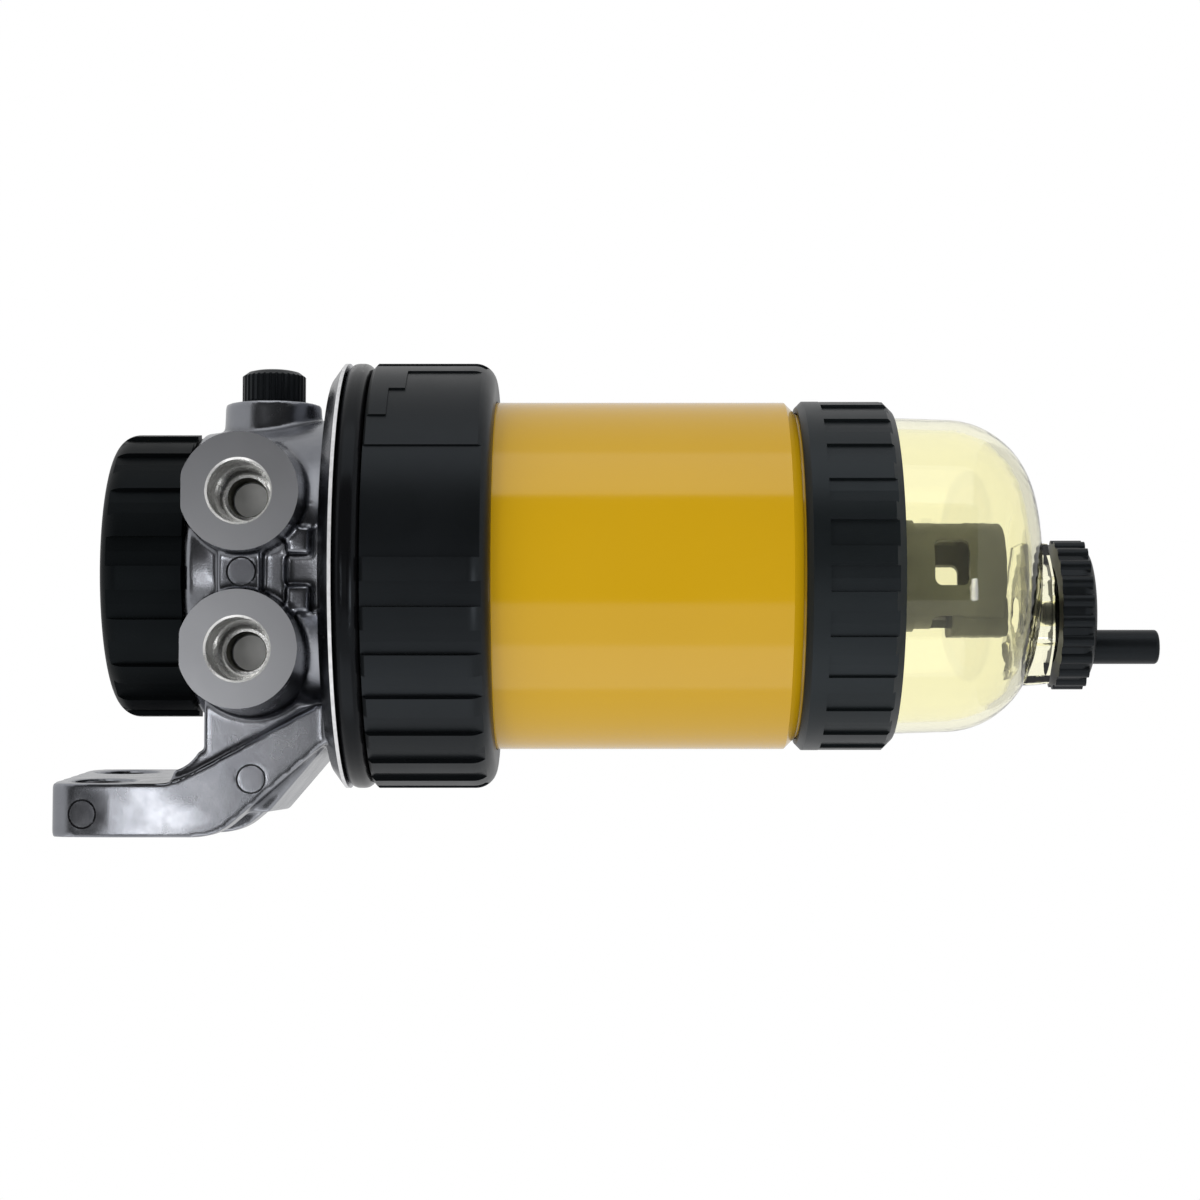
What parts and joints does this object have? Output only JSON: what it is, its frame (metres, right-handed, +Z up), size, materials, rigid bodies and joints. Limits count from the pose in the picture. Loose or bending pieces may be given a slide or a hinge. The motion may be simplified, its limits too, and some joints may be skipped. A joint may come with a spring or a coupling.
{
  "type": "fuel water separator",
  "caption": "Diesel fuel filter and water separator: cast head with bracket, hand primer, amber element can, clear bowl and drain cap with hose nipple.",
  "frame": {"origin": "middle of the bracket's two bolts, on its bolting face", "axes": "+Z up along the filter's axis, hand primer on top; -X out of the bolting face; ports open to -Y"},
  "size_m": [0.1275, 0.115, 0.2946],
  "materials": {
    "cast_aluminium": "as cast, machined faces satin",
    "black_moulding": "satin moulding",
    "black_rubber": "smooth",
    "amber_paint": "gloss amber lacquer",
    "clear_bowl": "clear pale yellow moulding",
    "grey_moulding": "satin moulding",
    "filter_paper": "pleated paper",
    "steel": "ground",
    "brass": "turned"
  },
  "bodies": {
    "root": {"filter_head": "cast_aluminium", "lip_ring": "black_rubber", "element_gasket": "black_rubber", "element_can": "amber_paint", "upper_end_cap": "grey_moulding", "spigot_seal": "black_rubber", "pleated_media": "filter_paper", "centre_tube": "grey_moulding", "lower_end_cap": "grey_moulding", "primer_gland": "brass", "rod_seal": "black_rubber", "foot_valve_cage": "grey_moulding", "foot_valve_spring": "steel"},
    "primer_plunger": {"primer_piston": "grey_moulding", "piston_seal": "black_rubber", "piston_flap": "black_rubber"},
    "primer_handle": {"primer_knob": "black_moulding", "primer_rod": "steel"},
    "foot_valve": {"foot_valve_disc": "grey_moulding"},
    "vent_ring": {"vent_seal": "black_rubber"},
    "vent": {"vent_screw": "black_moulding"},
    "collar": {"upper_collar": "black_moulding"},
    "bowl_unit": {"bowl": "clear_bowl", "bowl_seal": "black_rubber"},
    "bowl_collar": {"lower_collar": "black_moulding"},
    "drain_ring": {"drain_seal": "black_rubber"},
    "drain": {"drain_cap": "black_moulding"}
  },
  "joints": [
    {"name": "primer_stroke", "type": "slide", "parent": "root", "child": "primer_plunger", "axis": [0, 0, 1], "range_m": [0, 0.015]},
    {"name": "primer_turn", "type": "hinge", "parent": "primer_plunger", "child": "primer_handle", "pos_m": [0.07, 0, 0], "axis": [0, 0, 1], "range_deg": [0, 360]},
    {"name": "foot_valve_lift", "type": "slide", "parent": "root", "child": "foot_valve", "axis": [0, 0, 1], "range_m": [0, 0.0012], "stiffness_N_per_m": 50, "springref_m": -0.001, "deforming": ["foot_valve_spring"]},
    {"name": "vent_lift", "type": "slide", "parent": "root", "child": "vent_ring", "axis": [1, 0, 0], "range_m": [0, 0.0024]},
    {"name": "vent_turn", "type": "hinge", "parent": "vent_ring", "child": "vent", "pos_m": [0.07, 0, -0.0419], "axis": [1, 0, 0], "range_deg": [0, 720]},
    {"name": "collar_turn", "type": "hinge", "parent": "root", "child": "collar", "pos_m": [0.07, 0, -0.0864], "axis": [0, 0, 1], "range_deg": [0, 30]},
    {"name": "bowl_drop", "type": "slide", "parent": "root", "child": "bowl_unit", "axis": [0, 0, -1], "range_m": [0, 0.006]},
    {"name": "bowl_collar_turn", "type": "hinge", "parent": "bowl_unit", "child": "bowl_collar", "pos_m": [0.07, 0, -0.1972], "axis": [0, 0, -1], "range_deg": [0, 720]},
    {"name": "drain_drop", "type": "slide", "parent": "bowl_unit", "child": "drain_ring", "axis": [0, 0, -1], "range_m": [0, 0.004]},
    {"name": "drain_turn", "type": "hinge", "parent": "drain_ring", "child": "drain", "pos_m": [0.0594, 0, -0.26], "axis": [0, 0, -1], "range_deg": [0, 720]}
  ],
  "couplings": [
    {"joint": "vent_lift", "follows": "vent_turn", "m_per_rad": 0.00015915},
    {"joint": "bowl_drop", "follows": "bowl_collar_turn", "m_per_rad": 0.00047746},
    {"joint": "drain_drop", "follows": "drain_turn", "m_per_rad": 0.00031831}
  ]
}
